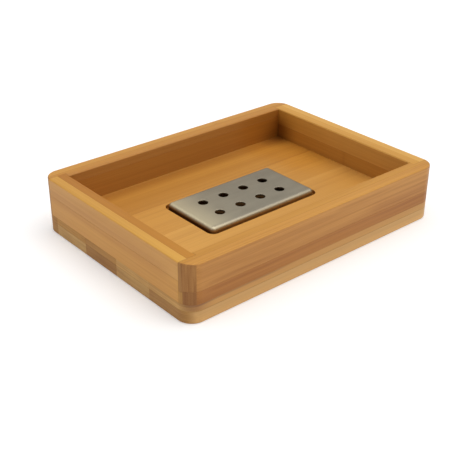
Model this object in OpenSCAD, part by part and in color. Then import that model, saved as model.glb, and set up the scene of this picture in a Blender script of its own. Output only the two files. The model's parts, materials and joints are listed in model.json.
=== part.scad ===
// Soap dish: a laminated bamboo tray with a perforated steel drain plate that lifts out.
// Millimetres, +Z up. The origin is the centre of the flat underside, the long walls run along X,
// and the front wall faces -Y.

/* [Tray] */
// Length of the tray, along X
tray_l = 130; // [100:1:200]
// Width of the tray, along Y
tray_w = 95; // [84:1:130]
// Height from the underside to the top of the walls
tray_h = 24; // [22:0.5:45]
// Radius of the upright outer corners
corner_r = 6.25; // [2:0.25:8]
// Radius that eases the outer top and bottom edges
edge_r = 0.6; // [0.2:0.1:1.2]
// Width of the bevel round the top inner edge of the walls
mouth_bevel = 0.4; // [0.1:0.1:1]

/* [Walls] */
// Thickness of the outer ply of each wall
outer_ply_t = 3.9; // [3:0.1:5]
// Thickness of the inner ply of each wall
inner_ply_t = 3.9; // [3:0.1:5]
// Depth of the rebate in the end of a long wall, which a short wall butts into
corner_rebate = 2.3; // [0.5:0.1:2.8]

/* [Wall strips] */
// Height of the lower strip in the front wall's outer ply
front_outer_strip_h = 5.2; // [2:0.1:12]
// Height of the lower strip in the front wall's inner ply
front_inner_strip_h = 4.7; // [2:0.1:12]
// Height of the lower strip in the back wall's outer ply
back_outer_strip_h = 9.4; // [2:0.1:12]
// Height of the lower strip in the back wall's inner ply
back_inner_strip_h = 12.5; // [2:0.1:13]
// Height of the lower strip in the left wall's outer ply
left_outer_strip_h = 8.7; // [2:0.1:12]
// Height of the lower strip in the left wall's inner ply
left_inner_strip_h = 5.9; // [2:0.1:12]
// Height of the lower strip in the right wall's outer ply
right_outer_strip_h = 7.6; // [2:0.1:12]
// Height of the lower strip in the right wall's inner ply
right_inner_strip_h = 8.7; // [2:0.1:12]

/* [Base board] */
// Thickness of the lower ply
lower_ply_t = 5.05; // [3:0.05:8]
// Thickness of the upper ply, whose top is the tray's floor
upper_ply_t = 5.05; // [4:0.05:8]
// Height of the floor above the rim that the walls stand on
field_step = 2.3; // [0.5:0.1:3]

/* [Plate recess and catch well] */
// Depth of the plate's seat below the floor
seat_depth = 1.5; // [0.8:0.1:3]
// Gap between the plate and its recess, all round
plate_gap = 1.2; // [0.3:0.1:2]
// How far the seat reaches in under the plate from the plate's outer face
seat_lap = 2.7; // [1.5:0.1:4]
// Radius of the catch well's upright corners
well_corner_r = 4; // [2:0.5:8]

/* [Drain plate] */
// Length of the plate
plate_l = 55.4; // [44:0.2:80]
// Width of the plate
plate_w = 29.6; // [24:0.2:36]
// Height of the plate's top above the floor
plate_proud = 1.8; // [0.8:0.1:4]
// Thickness of the steel sheet
sheet_t = 0.8; // [0.5:0.1:1.2]
// Radius inside the bend round the plate's top
bend_inner_r = 0.9; // [0.1:0.1:1.2]
// Radius of the corners of the plate's flat top, inside the bend
flat_corner_r = 0.3; // [0.1:0.1:3]
// Diameter of the drain holes
hole_d = 4.2; // [2:0.1:6]
// Distance between the centres of neighbouring holes
hole_pitch = 10.8; // [7:0.1:12]
// Number of holes along the plate
hole_columns = 4; // [2:1:5]
// Number of rows of holes
hole_rows = 2; // [1:1:3]

/* [Hidden] */
wall_t = outer_ply_t + inner_ply_t;
tongue_t = wall_t - corner_rebate;
base_t = lower_ply_t + upper_ply_t;
rim_z = base_t - field_step;
seat_z = base_t - seat_depth;
plate_h = seat_depth + plate_proud;
bend_r = sheet_t + bend_inner_r;
plate_corner_r = bend_r + flat_corner_r;
// How far a cut or an uncut blank runs past the face that it meets
overrun = 0.5;
// Finest facet, for curves drawn as a mesh
$fa = 3;
$fs = 0.15;

// Where the staves of the base board meet, as shares of the tray's width from the front
stave_joint_shares = [0.242, 0.463, 0.684, 0.905];
// Edges of the staves from front to back; the outermost two run past the tray's sides
stave_edges = concat(
    [-tray_w / 2 - overrun],
    [for (share = stave_joint_shares) (share - 0.5) * tray_w],
    [tray_w / 2 + overrun]
);

pale_bamboo = [0.86, 0.65, 0.34];
warm_bamboo = [0.80, 0.58, 0.30];
amber_bamboo = [0.75, 0.52, 0.25];
brown_bamboo = [0.66, 0.43, 0.20];
steel = [0.62, 0.60, 0.56];

// A rectangle of length l and width w about the origin, with round corners of radius r
module rounded_rectangle(l, w, r) {
    square([l - 2 * r, w], center = true);
    square([l, w - 2 * r], center = true);
    for (x = [-1, 1], y = [-1, 1])
        translate([x * (l / 2 - r), y * (w / 2 - r)])
            circle(r);
}

// A quarter of a disc, in the quadrant where x and y are positive
module quarter_disc(r) {
    intersection() {
        circle(r);
        square(r);
    }
}

// Carries a profile round the edge of a rounded rectangle. The profile's origin travels at the
// distance inset inside the edge, and its +X points outwards.
module along_edge(l, w, r, inset) {
    for (turn = [0 : 3]) {
        span = turn % 2 == 0 ? [l, w] : [w, l];
        rotate([0, 0, turn * 90]) {
            translate([span.x / 2 - inset, span.y / 2 - r, 0])
                rotate([90, 0, 0])
                    linear_extrude(span.y - 2 * r)
                        children();
            translate([span.x / 2 - r, span.y / 2 - r, 0])
                rotate_extrude(angle = 90)
                    translate([r - inset, 0])
                        children();
        }
    }
}

// A box between two opposite corners
module block(low, high) {
    translate(low)
        cube(high - low);
}

// The whole tray's outside as one slab, with round corners and eased top and bottom edges
module tray_outline() {
    linear_extrude(tray_h)
        rounded_rectangle(tray_l - 2 * edge_r, tray_w - 2 * edge_r, corner_r - edge_r);
    translate([0, 0, edge_r])
        linear_extrude(tray_h - 2 * edge_r)
            rounded_rectangle(tray_l, tray_w, corner_r);
    translate([0, 0, tray_h - edge_r])
        along_edge(tray_l, tray_w, corner_r, edge_r)
            quarter_disc(edge_r);
    translate([0, 0, edge_r])
        along_edge(tray_l, tray_w, corner_r, edge_r)
            mirror([0, 1])
                quarter_disc(edge_r);
}

// A blank between two opposite corners, worked down to the tray's outline
module shaped_board(low, high) {
    intersection() {
        tray_outline();
        block(low, high);
    }
}

// Section of the bevelled mouth, half wide at the foot of the bevel and opening at 45 degrees
module flare_section(half) {
    foot = tray_h - mouth_bevel;
    rise = mouth_bevel + overrun;
    polygon([[-half, foot], [half, foot], [half + rise, foot + rise], [-half - rise, foot + rise]]);
}

// What the bevel takes off the top inner edges of the walls
module mouth_flare() {
    intersection() {
        rotate([90, 0, 0])
            linear_extrude(tray_w, center = true)
                flare_section(tray_l / 2 - wall_t);
        rotate([90, 0, 90])
            linear_extrude(tray_l, center = true)
                flare_section(tray_w / 2 - wall_t);
    }
}

// Strip of a long wall's outer ply, in the front wall's place
module long_outer_strip(low_z, high_z) {
    shaped_board(
        [-tray_l / 2 - overrun, -tray_w / 2 - overrun, low_z],
        [tray_l / 2 + overrun, -tray_w / 2 + outer_ply_t, high_z]
    );
}

// Strip of a long wall's inner ply, in the front wall's place, rebated at both ends for the short walls
module long_inner_strip(low_z, high_z) {
    difference() {
        shaped_board(
            [-tray_l / 2 - overrun, -tray_w / 2 + outer_ply_t, low_z],
            [tray_l / 2 + overrun, -tray_w / 2 + wall_t, high_z]
        );
        for (end = [0, 1])
            mirror([end, 0, 0])
                block(
                    [tray_l / 2 - wall_t, -tray_w / 2 + tongue_t, low_z - overrun],
                    [tray_l / 2 + overrun, -tray_w / 2 + wall_t + overrun, high_z + overrun]
                );
        mouth_flare();
    }
}

// Strip of a short wall's outer ply, in the left wall's place, between the long walls' tongues
module short_outer_strip(low_z, high_z) {
    shaped_board(
        [-tray_l / 2 - overrun, -tray_w / 2 + tongue_t, low_z],
        [-tray_l / 2 + outer_ply_t, tray_w / 2 - tongue_t, high_z]
    );
}

// Strip of a short wall's inner ply, in the left wall's place
module short_inner_strip(low_z, high_z) {
    difference() {
        shaped_board(
            [-tray_l / 2 + outer_ply_t, -tray_w / 2 + tongue_t, low_z],
            [-tray_l / 2 + wall_t, tray_w / 2 - tongue_t, high_z]
        );
        mouth_flare();
    }
}

// Stave of the base board's lower ply, counted from the front
module lower_stave(number) {
    shaped_board(
        [-tray_l / 2 - overrun, stave_edges[number], -overrun],
        [tray_l / 2 + overrun, stave_edges[number + 1], lower_ply_t]
    );
}

// The upper ply before it is cut into staves: a rim that the walls stand on, round the raised floor
module upper_ply() {
    shaped_board(
        [-tray_l / 2 - overrun, -tray_w / 2 - overrun, lower_ply_t],
        [tray_l / 2 + overrun, tray_w / 2 + overrun, rim_z]
    );
    block(
        [-tray_l / 2 + wall_t, -tray_w / 2 + wall_t, lower_ply_t],
        [tray_l / 2 - wall_t, tray_w / 2 - wall_t, base_t]
    );
}

// The recess that the plate drops into, down to its seat, and the well cut on through the ply
module recess_and_well() {
    translate([0, 0, seat_z])
        linear_extrude(seat_depth + overrun)
            rounded_rectangle(
                plate_l + 2 * plate_gap,
                plate_w + 2 * plate_gap,
                plate_corner_r + plate_gap
            );
    translate([0, 0, lower_ply_t - overrun])
        linear_extrude(upper_ply_t)
            rounded_rectangle(plate_l - 2 * seat_lap, plate_w - 2 * seat_lap, well_corner_r);
}

// Stave of the base board's upper ply, counted from the front
module upper_stave(number) {
    difference() {
        intersection() {
            upper_ply();
            block(
                [-tray_l / 2 - overrun, stave_edges[number], lower_ply_t - overrun],
                [tray_l / 2 + overrun, stave_edges[number + 1], base_t + overrun]
            );
        }
        recess_and_well();
    }
}

// Top of an upper strip's blank, before the outline cuts it down
wall_top_z = tray_h + overrun;
// Heights at which the two strips of each ply meet
front_outer_joint_z = rim_z + front_outer_strip_h;
front_inner_joint_z = rim_z + front_inner_strip_h;
back_outer_joint_z = rim_z + back_outer_strip_h;
back_inner_joint_z = rim_z + back_inner_strip_h;
left_outer_joint_z = rim_z + left_outer_strip_h;
left_inner_joint_z = rim_z + left_inner_strip_h;
right_outer_joint_z = rim_z + right_outer_strip_h;
right_inner_joint_z = rim_z + right_inner_strip_h;

module front_outer_upper_strip() {
    color(warm_bamboo)
        long_outer_strip(front_outer_joint_z, wall_top_z);
}

module front_outer_lower_strip() {
    color(brown_bamboo)
        long_outer_strip(rim_z, front_outer_joint_z);
}

module front_inner_upper_strip() {
    color(warm_bamboo)
        long_inner_strip(front_inner_joint_z, wall_top_z);
}

module front_inner_lower_strip() {
    color(amber_bamboo)
        long_inner_strip(rim_z, front_inner_joint_z);
}

module back_outer_upper_strip() {
    color(warm_bamboo)
        mirror([0, 1, 0])
            long_outer_strip(back_outer_joint_z, wall_top_z);
}

module back_outer_lower_strip() {
    color(amber_bamboo)
        mirror([0, 1, 0])
            long_outer_strip(rim_z, back_outer_joint_z);
}

module back_inner_upper_strip() {
    color(warm_bamboo)
        mirror([0, 1, 0])
            long_inner_strip(back_inner_joint_z, wall_top_z);
}

module back_inner_lower_strip() {
    color(amber_bamboo)
        mirror([0, 1, 0])
            long_inner_strip(rim_z, back_inner_joint_z);
}

module left_outer_upper_strip() {
    color(pale_bamboo)
        short_outer_strip(left_outer_joint_z, wall_top_z);
}

module left_outer_lower_strip() {
    color(warm_bamboo)
        short_outer_strip(rim_z, left_outer_joint_z);
}

module left_inner_upper_strip() {
    color(amber_bamboo)
        short_inner_strip(left_inner_joint_z, wall_top_z);
}

module left_inner_lower_strip() {
    color(brown_bamboo)
        short_inner_strip(rim_z, left_inner_joint_z);
}

module right_outer_upper_strip() {
    color(pale_bamboo)
        mirror([1, 0, 0])
            short_outer_strip(right_outer_joint_z, wall_top_z);
}

module right_outer_lower_strip() {
    color(warm_bamboo)
        mirror([1, 0, 0])
            short_outer_strip(rim_z, right_outer_joint_z);
}

module right_inner_upper_strip() {
    color(pale_bamboo)
        mirror([1, 0, 0])
            short_inner_strip(right_inner_joint_z, wall_top_z);
}

module right_inner_lower_strip() {
    color(amber_bamboo)
        mirror([1, 0, 0])
            short_inner_strip(rim_z, right_inner_joint_z);
}

module upper_stave_front() {
    color(warm_bamboo)
        upper_stave(0);
}

module upper_stave_front_middle() {
    color(warm_bamboo)
        upper_stave(1);
}

module upper_stave_centre() {
    color(warm_bamboo)
        upper_stave(2);
}

module upper_stave_back_middle() {
    color(amber_bamboo)
        upper_stave(3);
}

module upper_stave_back() {
    color(amber_bamboo)
        upper_stave(4);
}

module lower_stave_front() {
    color(pale_bamboo)
        lower_stave(0);
}

module lower_stave_front_middle() {
    color(warm_bamboo)
        lower_stave(1);
}

module lower_stave_centre() {
    color(brown_bamboo)
        lower_stave(2);
}

module lower_stave_back_middle() {
    color(warm_bamboo)
        lower_stave(3);
}

module lower_stave_back() {
    color(amber_bamboo)
        lower_stave(4);
}

// The plate before it is pierced: a flat top, a bend round its edge, and a skirt that stands on the seat
module pressed_cap() {
    translate([0, 0, plate_h - sheet_t])
        linear_extrude(sheet_t)
            rounded_rectangle(plate_l - 2 * bend_r, plate_w - 2 * bend_r, flat_corner_r);
    translate([0, 0, plate_h - bend_r])
        along_edge(plate_l, plate_w, plate_corner_r, bend_r)
            difference() {
                quarter_disc(bend_r);
                circle(bend_inner_r);
            }
    linear_extrude(plate_h - bend_r)
        difference() {
            rounded_rectangle(plate_l, plate_w, plate_corner_r);
            rounded_rectangle(plate_l - 2 * sheet_t, plate_w - 2 * sheet_t, plate_corner_r - sheet_t);
        }
}

// Pressed steel cap with its grid of drain holes
module drain_plate() {
    color(steel)
        translate([0, 0, seat_z])
            difference() {
                pressed_cap();
                for (column = [0 : hole_columns - 1], row = [0 : hole_rows - 1])
                    translate([
                        (column - (hole_columns - 1) / 2) * hole_pitch,
                        (row - (hole_rows - 1) / 2) * hole_pitch,
                        plate_h - sheet_t - overrun
                    ])
                        cylinder(d = hole_d, h = sheet_t + 2 * overrun);
            }
}

front_outer_upper_strip();
front_outer_lower_strip();
front_inner_upper_strip();
front_inner_lower_strip();
back_outer_upper_strip();
back_outer_lower_strip();
back_inner_upper_strip();
back_inner_lower_strip();
left_outer_upper_strip();
left_outer_lower_strip();
left_inner_upper_strip();
left_inner_lower_strip();
right_outer_upper_strip();
right_outer_lower_strip();
right_inner_upper_strip();
right_inner_lower_strip();
upper_stave_front();
upper_stave_front_middle();
upper_stave_centre();
upper_stave_back_middle();
upper_stave_back();
lower_stave_front();
lower_stave_front_middle();
lower_stave_centre();
lower_stave_back_middle();
lower_stave_back();
drain_plate();
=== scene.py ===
"""Bamboo soap dish with a lift-out steel drain plate.

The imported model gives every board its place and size. Each board is made again here as one closed
surface with eased edges, and gets its bamboo: streaks along the grain, end grain and glue lines.
Lengths are in metres, +X runs along the long walls and the front wall faces -Y.
"""

import json
import math
from collections import namedtuple
from types import SimpleNamespace

import bmesh
import bpy
import numpy as np
from bpy.props import FloatProperty, FloatVectorProperty, IntProperty, PointerProperty
from mathutils import Matrix, Vector


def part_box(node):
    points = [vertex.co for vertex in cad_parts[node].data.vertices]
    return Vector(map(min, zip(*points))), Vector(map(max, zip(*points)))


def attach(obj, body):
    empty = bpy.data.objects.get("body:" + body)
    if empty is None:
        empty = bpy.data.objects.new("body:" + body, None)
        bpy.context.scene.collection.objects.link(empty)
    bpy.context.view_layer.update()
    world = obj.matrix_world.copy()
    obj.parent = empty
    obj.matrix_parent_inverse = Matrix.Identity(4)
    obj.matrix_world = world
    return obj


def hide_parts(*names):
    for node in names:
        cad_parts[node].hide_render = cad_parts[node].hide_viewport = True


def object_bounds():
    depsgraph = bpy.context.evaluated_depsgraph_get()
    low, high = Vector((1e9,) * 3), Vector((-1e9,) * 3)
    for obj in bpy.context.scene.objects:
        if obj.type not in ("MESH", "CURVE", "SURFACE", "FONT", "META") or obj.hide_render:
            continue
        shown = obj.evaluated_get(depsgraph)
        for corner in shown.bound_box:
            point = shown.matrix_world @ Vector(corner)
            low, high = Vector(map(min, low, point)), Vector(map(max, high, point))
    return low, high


bl_info = {
    "name": "Bamboo Soap Dish",
    "version": (1, 0, 0),
    "blender": (4, 5, 0),
    "location": "View3D > Sidebar > Soap Dish",
    "description": "Dresses a laminated bamboo soap dish and its steel drain plate",
    "category": "Object",
}

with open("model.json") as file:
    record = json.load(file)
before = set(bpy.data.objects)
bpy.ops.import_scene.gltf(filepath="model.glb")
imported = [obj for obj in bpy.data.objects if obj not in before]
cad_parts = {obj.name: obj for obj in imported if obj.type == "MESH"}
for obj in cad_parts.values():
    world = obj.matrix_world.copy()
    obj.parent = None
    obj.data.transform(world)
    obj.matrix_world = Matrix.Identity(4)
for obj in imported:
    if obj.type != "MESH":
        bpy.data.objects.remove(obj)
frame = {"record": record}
CAD_BOX = [list(corner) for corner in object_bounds()]

TRAY = "tray"
PLATE = "plate"
TONES = {row["slot"]: row["base_color"] for row in frame["record"]["materials"]}
SLOT_OF = {row["node"]: row["material_slot"] for row in frame["record"]["subparts"]}

# What sets one board's bamboo apart from plain bamboo of its slot's colour. Face, edge and end tint it where
# it is cut through its thickness, through its breadth and across its fibres; these tints are partly the
# board's own tone and partly painted light and shade, which make a side or a top lighter or darker. Figure
# scales its streaks. Vein, upper vein and the broader, fainter shade are dark lines, given by height and by
# start and end along the grain. Fade is how much lighter the face and then the edge get per metre along the
# grain; on the upper staves it is painted shade growing towards the right wall. Seam dark is how much the
# board darkens near its seam under the front wall, and knot is the place along the grain where the cane had
# a joint.
NO_KNOT = 1.0
PLAIN_TINT = (1.0, 1.0, 1.0)
PLAIN_BOARD = {
    "face": PLAIN_TINT,
    "edge": PLAIN_TINT,
    "end": PLAIN_TINT,
    "figure": 1.0,
    "vein": (0.0, 0.0, 0.0),
    "upper_vein": (0.0, 0.0, 0.0),
    "shade": (0.0, 0.0, 0.0),
    "fade": (0.0, 0.0, 0.0),
    "smear": 0.0,
    "knot": NO_KNOT,
}
BOARDS = {
    "front_outer_upper_strip": {
        "face": (0.95, 0.90, 0.97),
        "edge": (0.99, 0.95, 0.77),
        "end": (0.86, 0.77, 0.80),
        "figure": 2.1,
        "vein": (0.0146, -0.0620, -0.0100),
        "upper_vein": (0.0217, 0.0020, 0.0520),
        "shade": (0.0162, 0.0200, 0.0900),
    },
    "front_outer_lower_strip": {
        "face": (1.03, 1.02, 1.0),
        "end": (0.94, 0.94, 1.06),
        "figure": 1.5,
        "vein": (0.0116, -0.0620, 0.0800),
    },
    "front_inner_upper_strip": {"edge": (1.0, 0.98, 0.71), "end": (0.83, 0.76, 0.80)},
    "front_inner_lower_strip": {"end": (1.24, 1.37, 1.62)},
    "back_outer_upper_strip": {"edge": (1.05, 1.05, 0.88), "knot": 0.0230},
    "back_inner_upper_strip": {"face": (0.85, 0.80, 0.82), "edge": (0.93, 0.85, 0.61)},
    "back_inner_lower_strip": {"face": (0.98, 0.97, 1.0)},
    "left_outer_upper_strip": {
        "face": (1.00, 0.94, 0.97),
        "edge": (1.0, 0.96, 0.70),
        "shade": (0.0176, -0.0420, 0.0700),
        "fade": (0.0, -5.0, 0.0),
    },
    "left_outer_lower_strip": {"face": (1.11, 1.12, 1.03), "shade": (0.0166, -0.0420, 0.0700)},
    "left_inner_upper_strip": {"edge": (1.0, 0.94, 0.52), "fade": (0.0, -6.5, 0.0)},
    "right_outer_upper_strip": {"edge": (1.09, 1.10, 1.02)},
    "right_inner_upper_strip": {"face": (1.03, 1.02, 1.0), "edge": (0.98, 0.90, 0.63)},
    "right_outer_lower_strip": {"knot": 0.0160},
    "right_inner_lower_strip": {"face": (1.14, 1.26, 1.32), "knot": -0.0035},
    "upper_stave_front": {
        "edge": (1.04, 1.12, 1.50),
        "end": (1.21, 1.33, 1.60),
        "fade": (-1.5, 0.0, 0.0),
        "smear": 1.0,
    },
    "upper_stave_front_middle": {
        "face": (1.09, 1.15, 1.13),
        "end": (1.24, 1.38, 1.68),
        "figure": 0.9,
        "fade": (-4.5, 0.0, 0.0),
    },
    "upper_stave_centre": {
        "face": (1.02, 1.02, 0.89),
        "end": (0.96, 0.93, 0.86),
        "figure": 0.9,
        "fade": (-2.0, 0.0, 0.0),
    },
    "upper_stave_back_middle": {
        "face": (1.01, 1.03, 0.98),
        "end": (1.24, 1.35, 1.40),
        "figure": 0.9,
        # Its shade is a painted shadow of the back wall on the floor
        "shade": (0.0365, -0.0800, 0.0900),
    },
    "upper_stave_back": {"figure": 0.7},
    "lower_stave_front": {"edge": (0.94, 1.00, 1.52), "end": (0.80, 0.71, 0.72)},
    "lower_stave_front_middle": {"end": (1.11, 1.25, 1.62)},
    "lower_stave_centre": {"end": (1.10, 1.24, 1.38), "knot": 0.0270},
    "lower_stave_back_middle": {"end": (1.17, 1.37, 1.85)},
    "lower_stave_back": {"end": (1.05, 1.12, 1.25)},
}
# How much of a glue line shows inside the cavity, which is oiled more thickly
CAVITY_SEAM_SHARE = 0.25


# Settings


def length_setting(name, description, default):
    """A length in metres."""
    return FloatProperty(name=name, description=description, default=default, subtype="DISTANCE")


def angle_setting(name, description, degrees):
    """An angle, given in degrees."""
    return FloatProperty(name=name, description=description, default=math.radians(degrees), subtype="ANGLE")


def share_setting(name, description, default, most=1.0):
    """A share or a strength, from 0 to most."""
    return FloatProperty(name=name, description=description, default=default, min=0.0, max=most)


def colour_setting(name, description, default):
    """A colour, its channels from 0 to 1."""
    return FloatVectorProperty(
        name=name, description=description, default=default, subtype="COLOR", min=0.0, max=1.0
    )


def count_setting(name, description, default, least=1):
    """A whole number."""
    return IntProperty(name=name, description=description, default=default, min=least)


class BoardSettings(bpy.types.PropertyGroup):
    """Sizes of the bamboo boards that the frame's boxes don't give."""

    corner_radius: length_setting("Corner radius", "Upright outer corners of the tray", 0.00625)
    edge_radius: length_setting("Edge radius", "Eases the outer top and bottom edges", 0.0006)
    mouth_bevel: length_setting("Mouth bevel", "Bevel round the top inner edge", 0.0004)
    arris: length_setting("Arris", "Chamfer left by sanding on each board's edges", 0.00005)
    glue_line: length_setting("Glue line", "Width over which a glue line fades", 0.00022)
    corner_steps: count_setting("Corner steps", "Steps round each upright corner", 18, least=4)
    edge_steps: count_setting("Edge steps", "Steps round each eased edge", 6, least=2)


class PlateSettings(bpy.types.PropertyGroup):
    """Sizes of the drain plate, its recess and the catch well, and the plate's steel."""

    hole_diameter: length_setting("Hole diameter", "Diameter of the drain holes", 0.0042)
    hole_pitch: length_setting("Hole pitch", "Distance between neighbouring holes", 0.0108)
    hole_columns: count_setting("Hole columns", "Holes along the plate", 4)
    hole_rows: count_setting("Hole rows", "Rows of holes", 2)
    cell_steps: count_setting("Cell steps", "Steps along each side of the square round a hole", 12, least=4)
    sheet: length_setting("Sheet", "Thickness of the steel sheet", 0.0008)
    bend_radius: length_setting("Bend radius", "Outer radius of the bend round the top", 0.0017)
    corner_radius: length_setting("Corner radius", "Outer radius of the corners in plan", 0.0020)
    edge_radius: length_setting("Edge radius", "Eases the punched and cut edges", 0.00015)
    recess_gap: length_setting("Recess gap", "Gap between the plate and its recess", 0.0012)
    seat_lap: length_setting("Seat lap", "How far the seat reaches in under the plate", 0.0027)
    well_corner_radius: length_setting("Well corner radius", "Upright corners of the catch well", 0.004)
    steel: colour_setting("Steel", "Colour of the steel", TONES["drain_plate_steel"])
    roughness: share_setting("Roughness", "Roughness of the brushed steel", 0.5)


class BambooSettings(bpy.types.PropertyGroup):
    """Colours of the bamboo, its figure, and the light, shade and seam darkening painted on it."""

    pale: colour_setting("Pale", "Palest boards", TONES["pale_bamboo"])
    warm: colour_setting("Warm", "Honey-coloured boards", TONES["warm_bamboo"])
    amber: colour_setting("Amber", "Amber boards", TONES["amber_bamboo"])
    brown: colour_setting("Brown", "Brownest boards", TONES["brown_bamboo"])
    figure: share_setting("Figure", "Contrast of the streaks", 1.0, most=3.0)
    glue: share_setting("Glue", "Darkness of the glue lines", 0.27)
    # Painted light: how much lighter the foot of the base's front and back is painted, standing in for the
    # floor's bounce
    rubbed_foot: share_setting("Rubbed foot", "How pale the foot of the front and back is rubbed", 1.0)
    # Painted shade: how dark the recess round the plate and the well below it are painted
    stain: share_setting("Stain", "How much water has darkened the recess and the well", 0.9)
    # Painted shade: how dark the cavity's back right corner is painted
    corner_stain: share_setting("Corner stain", "How much damp has darkened the cavity's back corner", 1.0)
    roughness: share_setting("Roughness", "Roughness of the oiled faces", 0.46)


class StageSettings(bpy.types.PropertyGroup):
    """Camera, lamps, floor and world."""

    aim: FloatVectorProperty(
        name="Aim",
        description="Point at the middle of the picture",
        default=(-0.02407, -0.0238, 0.012),
        subtype="XYZ",
        unit="LENGTH",
    )
    azimuth: angle_setting("Azimuth", "Camera's heading from +Y towards +X", 40.756)
    elevation: angle_setting("Elevation", "Camera's height above the aim", 29.181)
    roll: angle_setting("Roll", "Camera's roll", 0.401)
    distance: length_setting("Distance", "From the camera to the aim", 0.33877)
    focal_length: FloatProperty(
        name="Focal length",
        description="In millimetres, on a sensor 36 mm wide",
        default=68.26,
        subtype="DISTANCE_CAMERA",
    )
    sky: share_setting("Sky", "Strength of the world overhead, 1 at the horizon", 0.25)
    haze: angle_setting("Haze", "Height to which the horizon's white fades", 15)
    back_share: share_setting("Back share", "What the high back lamp adds to a level white surface", 0.24)
    front_share: share_setting("Front share", "What the high front lamp adds to a level white surface", 0.48)
    rim_share: share_setting("Rim share", "What the low rim lamp adds to a level white surface", 0.03)
    lamp_heading: angle_setting(
        "Lamp heading", "Of the high back lamp, from +Y towards -X. The front lamp stands opposite", 45
    )
    lamp_height: angle_setting("Lamp height", "Of both high lamps above the floor", 68)
    rim_heading: angle_setting("Rim heading", "Of the rim lamp, from +Y towards +X", 38)
    rim_height: angle_setting("Rim height", "Of the rim lamp above the floor", 30)
    lamp_spread: angle_setting("Lamp spread", "How wide each lamp looks", 58)
    floor: colour_setting("Floor", "Colour of the floor", (0.9, 0.9, 0.9))
    floor_glow: share_setting("Floor glow", "What the camera adds to the lit floor", 0.21)
    floor_reach: length_setting("Floor reach", "Half the floor's side", 4.0)


# Node graphs written as expressions


class Value:
    """An output socket. Arithmetic on it adds Math nodes to its material."""

    def __init__(self, graph, socket):
        self.graph = graph
        self.socket = socket

    def maths(self, operation, first, second=0.0):
        inputs = {"Value": first, "Value_001": second}
        return self.graph.add("ShaderNodeMath", {"operation": operation}, inputs)["Value"]

    def __add__(self, other):
        return self.maths("ADD", self, other)

    def __radd__(self, other):
        return self.maths("ADD", other, self)

    def __sub__(self, other):
        return self.maths("SUBTRACT", self, other)

    def __rsub__(self, other):
        return self.maths("SUBTRACT", other, self)

    def __mul__(self, other):
        return self.maths("MULTIPLY", self, other)

    def __rmul__(self, other):
        return self.maths("MULTIPLY", other, self)

    def __truediv__(self, other):
        return self.maths("DIVIDE", self, other)

    def __abs__(self):
        return self.maths("ABSOLUTE", self)

    def at_least(self, other):
        return self.maths("MAXIMUM", self, other)

    def at_most(self, other):
        return self.maths("MINIMUM", self, other)

    def clamped(self):
        """Kept between 0 and 1."""
        return self.at_least(0.0).at_most(1.0)

    def step(self, low, high):
        """Goes smoothly from 0 at low to 1 at high. Where low is the greater of the two, it falls."""
        inputs = {"Value": self, "From Min": low, "From Max": high}
        return self.graph.add("ShaderNodeMapRange", {"interpolation_type": "SMOOTHSTEP"}, inputs)["Result"]


class Graph:
    """The node tree of a material or a world, filled one node at a time."""

    def __init__(self, owner):
        owner.use_nodes = True
        self.tree = owner.node_tree
        self.tree.nodes.clear()

    def add(self, kind, settings=None, inputs=None):
        """A node of that type with its settings made first, then its inputs linked or set by identifier.
        Returns its outputs by identifier."""
        node = self.tree.nodes.new(kind)
        for name, value in (settings or {}).items():
            setattr(node, name, value)
        sockets = {socket.identifier: socket for socket in node.inputs}
        for name, value in (inputs or {}).items():
            if isinstance(value, Value):
                self.tree.links.new(value.socket, sockets[name])
            else:
                sockets[name].default_value = value
        return {socket.identifier: Value(self, socket) for socket in node.outputs}

    def mix(self, factor, first, second):
        """Two colours mixed."""
        settings = {"data_type": "RGBA", "clamp_factor": True}
        inputs = {"Factor_Float": factor, "A_Color": first, "B_Color": second}
        return self.add("ShaderNodeMix", settings, inputs)["Result_Color"]

    def times(self, first, second):
        """Two colours multiplied, channel by channel."""
        inputs = {"Vector": first, "Vector_001": second}
        return self.add("ShaderNodeVectorMath", {"operation": "MULTIPLY"}, inputs)["Vector"]

    def wash(self, colour, share, tint):
        """A colour of which a share is multiplied by a tint."""
        return self.mix(share, colour, self.times(colour, tint))

    def vector(self, x, y, z):
        """A vector from its X, Y and Z."""
        return self.add("ShaderNodeCombineXYZ", {}, {"X": x, "Y": y, "Z": z})["Vector"]

    def split(self, vector):
        """A vector's X, Y and Z."""
        return self.add("ShaderNodeSeparateXYZ", {}, {"Vector": vector})

    def noise(self, vector, detail):
        """Noise with features one unit long, from -0.5 to 0.5."""
        inputs = {"Vector": vector, "Scale": 1.0, "Detail": detail}
        return self.add("ShaderNodeTexNoise", {}, inputs)["Fac"] - 0.5

    def attribute(self, name, output="Fac"):
        """What a piece's mesh holds under a name at each point: a number, or its Vector."""
        return self.add("ShaderNodeAttribute", {"attribute_name": name})[output]

    def place_and_facing(self):
        """The place in the dish and the way that a face looks, both split into X, Y and Z."""
        coordinates = self.add("ShaderNodeTexCoord")
        return self.split(coordinates["Object"]), self.split(coordinates["Normal"])

    def bump(self, height, strength, distance):
        """A normal bent by a height in shares of a distance."""
        inputs = {"Strength": strength, "Distance": distance, "Height": height}
        return self.add("ShaderNodeBump", {}, inputs)["Normal"]

    def surface(self, inputs):
        """A Principled shader with those inputs, as the material's surface."""
        shader = self.add("ShaderNodeBsdfPrincipled", {}, inputs)
        self.add("ShaderNodeOutputMaterial", {}, {"Surface": shader["BSDF"]})


def opaque(colour):
    """A colour with the alpha that a socket wants."""
    return (*colour, 1.0)


def tinted(colour, tint):
    """Each channel of a colour times the same channel of a tint, as a socket value."""
    return opaque([channel * share for channel, share in zip(colour, tint)])


def region(place, ranges):
    """A mark that is 1 inside a region and 0 outside it: the product of a step for each axis named, which
    rises over its range, or falls where the range runs backwards."""
    return math.prod(place[axis].step(*limits) for axis, limits in ranges.items())


# Bamboo

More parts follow.
